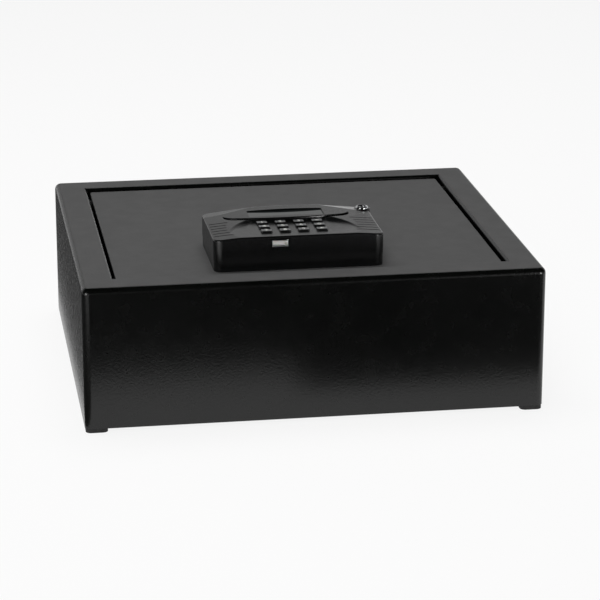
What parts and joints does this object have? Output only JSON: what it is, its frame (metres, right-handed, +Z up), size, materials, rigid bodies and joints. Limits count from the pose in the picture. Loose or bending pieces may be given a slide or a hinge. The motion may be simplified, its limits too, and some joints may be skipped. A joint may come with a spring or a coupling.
{
  "type": "laptop safe",
  "caption": "Low steel laptop safe with a flush rear-hinged lid in a folded top frame, and an electronic keypad lock with emergency key on the lid.",
  "frame": {"origin": "bottom centre of the case, on the plane that its feet stand on", "axes": "+X to the right seen from the front, +Y to the rear, +Z up"},
  "size_m": [0.42, 0.37, 0.1655],
  "materials": {
    "powder_coat": "textured semi-gloss black powder coat",
    "rubber": "matte moulded",
    "felt": "needled felt",
    "zinc_steel": "zinc plated",
    "dark_steel": "blackened",
    "nylon": "moulded, natural",
    "black_nylon": "moulded, black",
    "abs_black": "fine spark texture, satin",
    "key_plastic": "satin moulded",
    "display_pane": "polished clear window",
    "display_panel": "grey display",
    "circuit_board": "solder mask",
    "silicone": "moulded, translucent grey",
    "chrome": "polished plating",
    "brass": "machined",
    "cell_wrap": "plain foil wrap",
    "cable": "smooth jacket"
  },
  "bodies": {
    "case": {"case_walls": "powder_coat", "top_frame": "powder_coat", "floor_plate": "powder_coat", "corner_feet": "rubber", "floor_mat": "felt", "hinge_pins": "dark_steel", "hinge_clips": "dark_steel", "stop_pins": "dark_steel", "lid_ledges": "powder_coat", "ledge_rests": "rubber"},
    "lid": {"lid_panel": "powder_coat", "hinge_bushes": "black_nylon", "bolt_guides": "zinc_steel", "gearmotor": "dark_steel", "motor_bracket": "zinc_steel", "battery_box": "abs_black", "batteries": "cell_wrap", "battery_contacts": "zinc_steel", "cover_posts": "zinc_steel", "inner_cover": "powder_coat", "cover_screws": "zinc_steel", "hatch_rails": "powder_coat", "wiring_loom": "cable", "lock_base": "abs_black", "lock_cover": "abs_black", "display_pane": "display_pane", "display_module": "display_panel", "control_board": "circuit_board", "board_screws": "zinc_steel", "keypad_mat": "silicone", "buzzer": "abs_black", "port_shell": "chrome", "port_tongue": "nylon", "lock_screws": "zinc_steel", "cylinder_barrel": "chrome", "barrel_nut": "zinc_steel"},
    "bolts": {"bolt_bar": "zinc_steel", "locking_bolts": "chrome"},
    "pinion": {"drive_pinion": "brass", "pinion_shaft": "zinc_steel"},
    "emergency_lock": {"cylinder_plug": "chrome", "key_cam": "zinc_steel", "cam_screw": "dark_steel"},
    "hatch": {"battery_hatch": "abs_black"},
    "button_1": {"key_1": "key_plastic"},
    "button_2": {"key_2": "key_plastic"},
    "button_3": {"key_3": "key_plastic"},
    "button_star": {"key_star": "key_plastic"},
    "button_4": {"key_4": "key_plastic"},
    "button_5": {"key_5": "key_plastic"},
    "button_6": {"key_6": "key_plastic"},
    "button_0": {"key_0": "key_plastic"},
    "button_7": {"key_7": "key_plastic"},
    "button_8": {"key_8": "key_plastic"},
    "button_9": {"key_9": "key_plastic"},
    "button_hash": {"key_hash": "key_plastic"}
  },
  "joints": [
    {"name": "lid_hinge", "type": "hinge", "parent": "case", "child": "lid", "pos_m": [0, 0.127, 0.123], "axis": [-1, 0, 0], "range_deg": [0, 98]},
    {"name": "bolt_slide", "type": "slide", "parent": "lid", "child": "bolts", "axis": [0, -1, 0], "range_m": [0, 0.012]},
    {"name": "pinion_turn", "type": "hinge", "parent": "lid", "child": "pinion", "pos_m": [0.003, -0.098, 0.115], "axis": [1, 0, 0], "range_deg": [0, 138]},
    {"name": "emergency_key", "type": "hinge", "parent": "lid", "child": "emergency_lock", "pos_m": [0.063, -0.0555, 0.14], "axis": [0, 0, 1], "range_deg": [0, 90]},
    {"name": "hatch_slide", "type": "slide", "parent": "lid", "child": "hatch", "axis": [0, -1, 0], "range_m": [0, 0.045]},
    {"name": "press_1", "type": "slide", "parent": "lid", "child": "button_1", "axis": [0, 0, -1], "range_m": [0, 0.0012], "stiffness_N_per_m": 300, "springref_m": -0.001},
    {"name": "press_2", "type": "slide", "parent": "lid", "child": "button_2", "axis": [0, 0, -1], "range_m": [0, 0.0012], "stiffness_N_per_m": 300, "springref_m": -0.001},
    {"name": "press_3", "type": "slide", "parent": "lid", "child": "button_3", "axis": [0, 0, -1], "range_m": [0, 0.0012], "stiffness_N_per_m": 300, "springref_m": -0.001},
    {"name": "press_star", "type": "slide", "parent": "lid", "child": "button_star", "axis": [0, 0, -1], "range_m": [0, 0.0012], "stiffness_N_per_m": 300, "springref_m": -0.001},
    {"name": "press_4", "type": "slide", "parent": "lid", "child": "button_4", "axis": [0, 0, -1], "range_m": [0, 0.0012], "stiffness_N_per_m": 300, "springref_m": -0.001},
    {"name": "press_5", "type": "slide", "parent": "lid", "child": "button_5", "axis": [0, 0, -1], "range_m": [0, 0.0012], "stiffness_N_per_m": 300, "springref_m": -0.001},
    {"name": "press_6", "type": "slide", "parent": "lid", "child": "button_6", "axis": [0, 0, -1], "range_m": [0, 0.0012], "stiffness_N_per_m": 300, "springref_m": -0.001},
    {"name": "press_0", "type": "slide", "parent": "lid", "child": "button_0", "axis": [0, 0, -1], "range_m": [0, 0.0012], "stiffness_N_per_m": 300, "springref_m": -0.001},
    {"name": "press_7", "type": "slide", "parent": "lid", "child": "button_7", "axis": [0, 0, -1], "range_m": [0, 0.0012], "stiffness_N_per_m": 300, "springref_m": -0.001},
    {"name": "press_8", "type": "slide", "parent": "lid", "child": "button_8", "axis": [0, 0, -1], "range_m": [0, 0.0012], "stiffness_N_per_m": 300, "springref_m": -0.001},
    {"name": "press_9", "type": "slide", "parent": "lid", "child": "button_9", "axis": [0, 0, -1], "range_m": [0, 0.0012], "stiffness_N_per_m": 300, "springref_m": -0.001},
    {"name": "press_hash", "type": "slide", "parent": "lid", "child": "button_hash", "axis": [0, 0, -1], "range_m": [0, 0.0012], "stiffness_N_per_m": 300, "springref_m": -0.001}
  ],
  "couplings": [
    {"joint": "pinion_turn", "follows": "bolt_slide", "rad_per_m": 200}
  ]
}
